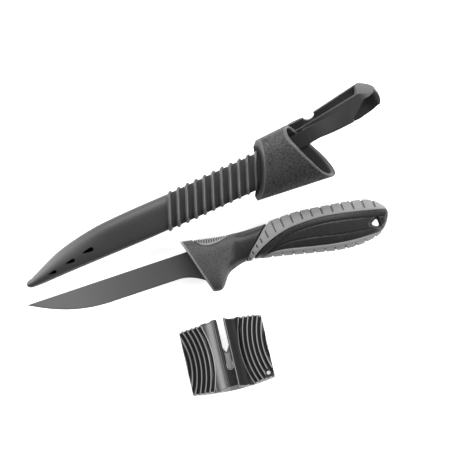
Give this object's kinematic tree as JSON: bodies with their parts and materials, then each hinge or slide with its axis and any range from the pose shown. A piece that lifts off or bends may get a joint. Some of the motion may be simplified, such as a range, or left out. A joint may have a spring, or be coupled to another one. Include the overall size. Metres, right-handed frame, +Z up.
{
  "type": "fishing knife",
  "caption": "Fixed-blade fishing knife with a soft-grip handle, laid out beside its ribbed belt-clip sheath and a pull-through pocket sharpener.",
  "frame": {"origin": "middle of the layout's bounding box, on the table", "axes": "+X along the sheath from its tip to its mouth, +Y from the sharpener to the sheath, +Z up from the table"},
  "size_m": [0.252, 0.142, 0.0388],
  "materials": {
    "blade_steel": "dark coated steel, satin",
    "core_plastic": "semi-gloss moulding",
    "grip_rubber": "matte soft grip",
    "sheath_plastic": "satin moulding",
    "collar_plastic": "pebble grain",
    "shell_plastic": "semi-gloss moulding",
    "holder_plastic": "plain moulding",
    "carbide": "ground",
    "screw_steel": "plain"
  },
  "bodies": {
    "knife": {"blade": "blade_steel", "handle_core": "core_plastic", "upper_grip": "grip_rubber", "lower_grip": "grip_rubber", "thumb_rest": "grip_rubber"},
    "sheath": {"scabbard": "sheath_plastic", "collar": "collar_plastic", "belt_clip": "sheath_plastic"},
    "clip_leg": {"clip_spring_leg": "sheath_plastic"},
    "sharpener": {"front_shell": "shell_plastic", "back_shell": "shell_plastic", "plate_holder": "holder_plastic", "left_sharpening_plate": "carbide", "right_sharpening_plate": "carbide", "shell_screw_1": "screw_steel", "shell_screw_2": "screw_steel"}
  },
  "joints": [
    {"name": "sheath_lift", "type": "slide", "parent": "knife", "child": "sheath", "axis": [0, 0, 1], "range_m": [0, 0.12]},
    {"name": "sharpener_lift", "type": "slide", "parent": "knife", "child": "sharpener", "axis": [0, 0, 1], "range_m": [0, 0.12]},
    {"name": "clip_flex", "type": "hinge", "parent": "sheath", "child": "clip_leg", "pos_m": [0.12429, 0.06056, 0.01466], "axis": [0.0413, -0.9511, -0.3062], "range_deg": [0, 8], "stiffness_Nm_per_rad": 1.5}
  ]
}
